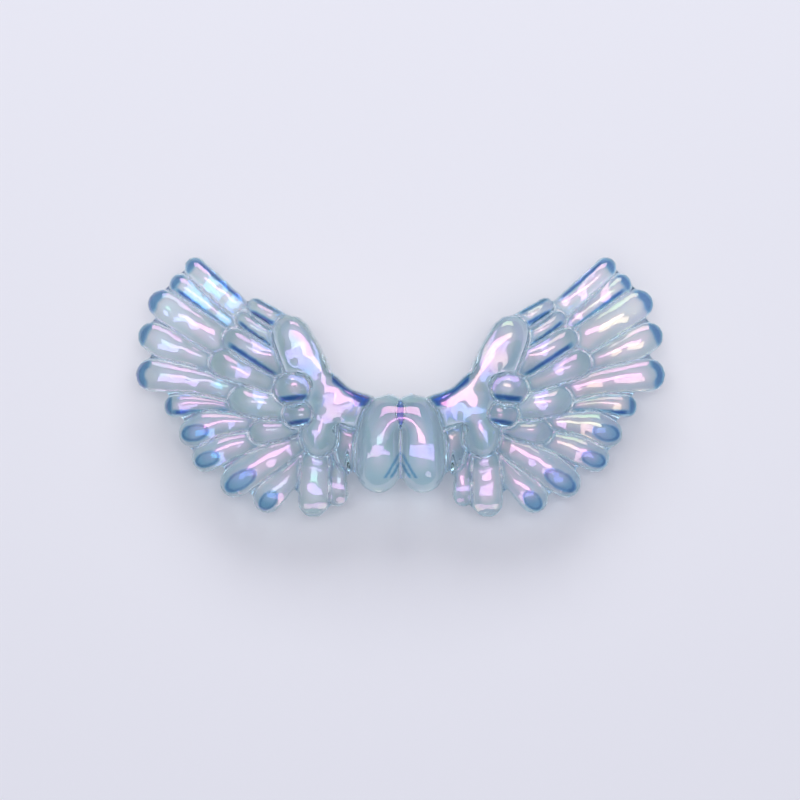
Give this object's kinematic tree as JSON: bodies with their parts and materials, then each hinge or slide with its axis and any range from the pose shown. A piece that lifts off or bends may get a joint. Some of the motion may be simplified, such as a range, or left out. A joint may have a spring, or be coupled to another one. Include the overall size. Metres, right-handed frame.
{
  "type": "angel wing bead",
  "caption": "Clear pale-blue acrylic bead shaped as a pair of feathered angel wings with a heart between them, iridescent coated, with a threading hole through the heart.",
  "frame": {"origin": "centre of the bead's plan, on the surface that its back lies on", "axes": "+X along the span to the right-hand wing as seen from the front, +Y to the wing tips, +Z out of the front of the bead"},
  "size_m": [0.049, 0.0241, 0.0086],
  "materials": {
    "acrylic": "gloss"
  },
  "bodies": {
    "root": {"right_heart_lobe": "acrylic", "left_heart_lobe": "acrylic", "right_scapular_1": "acrylic", "left_scapular_1": "acrylic", "right_scapular_2": "acrylic", "left_scapular_2": "acrylic", "right_shoulder": "acrylic", "left_shoulder": "acrylic", "right_neck": "acrylic", "left_neck": "acrylic", "right_scapular_3": "acrylic", "left_scapular_3": "acrylic", "right_covert_1": "acrylic", "left_covert_1": "acrylic", "right_covert_2": "acrylic", "left_covert_2": "acrylic", "right_covert_3": "acrylic", "left_covert_3": "acrylic", "right_covert_4": "acrylic", "left_covert_4": "acrylic", "right_covert_5": "acrylic", "left_covert_5": "acrylic", "right_covert_6": "acrylic", "left_covert_6": "acrylic", "right_primary_1": "acrylic", "left_primary_1": "acrylic", "right_primary_2": "acrylic", "left_primary_2": "acrylic", "right_primary_3": "acrylic", "left_primary_3": "acrylic", "right_primary_4": "acrylic", "left_primary_4": "acrylic", "right_primary_5": "acrylic", "left_primary_5": "acrylic", "right_primary_6": "acrylic", "left_primary_6": "acrylic", "right_primary_7": "acrylic", "left_primary_7": "acrylic", "right_primary_8": "acrylic", "left_primary_8": "acrylic", "right_primary_9": "acrylic", "left_primary_9": "acrylic", "right_primary_10": "acrylic", "left_primary_10": "acrylic", "right_primary_11": "acrylic", "left_primary_11": "acrylic", "right_primary_12": "acrylic", "left_primary_12": "acrylic", "right_primary_13": "acrylic", "left_primary_13": "acrylic"}
  },
  "joints": []
}
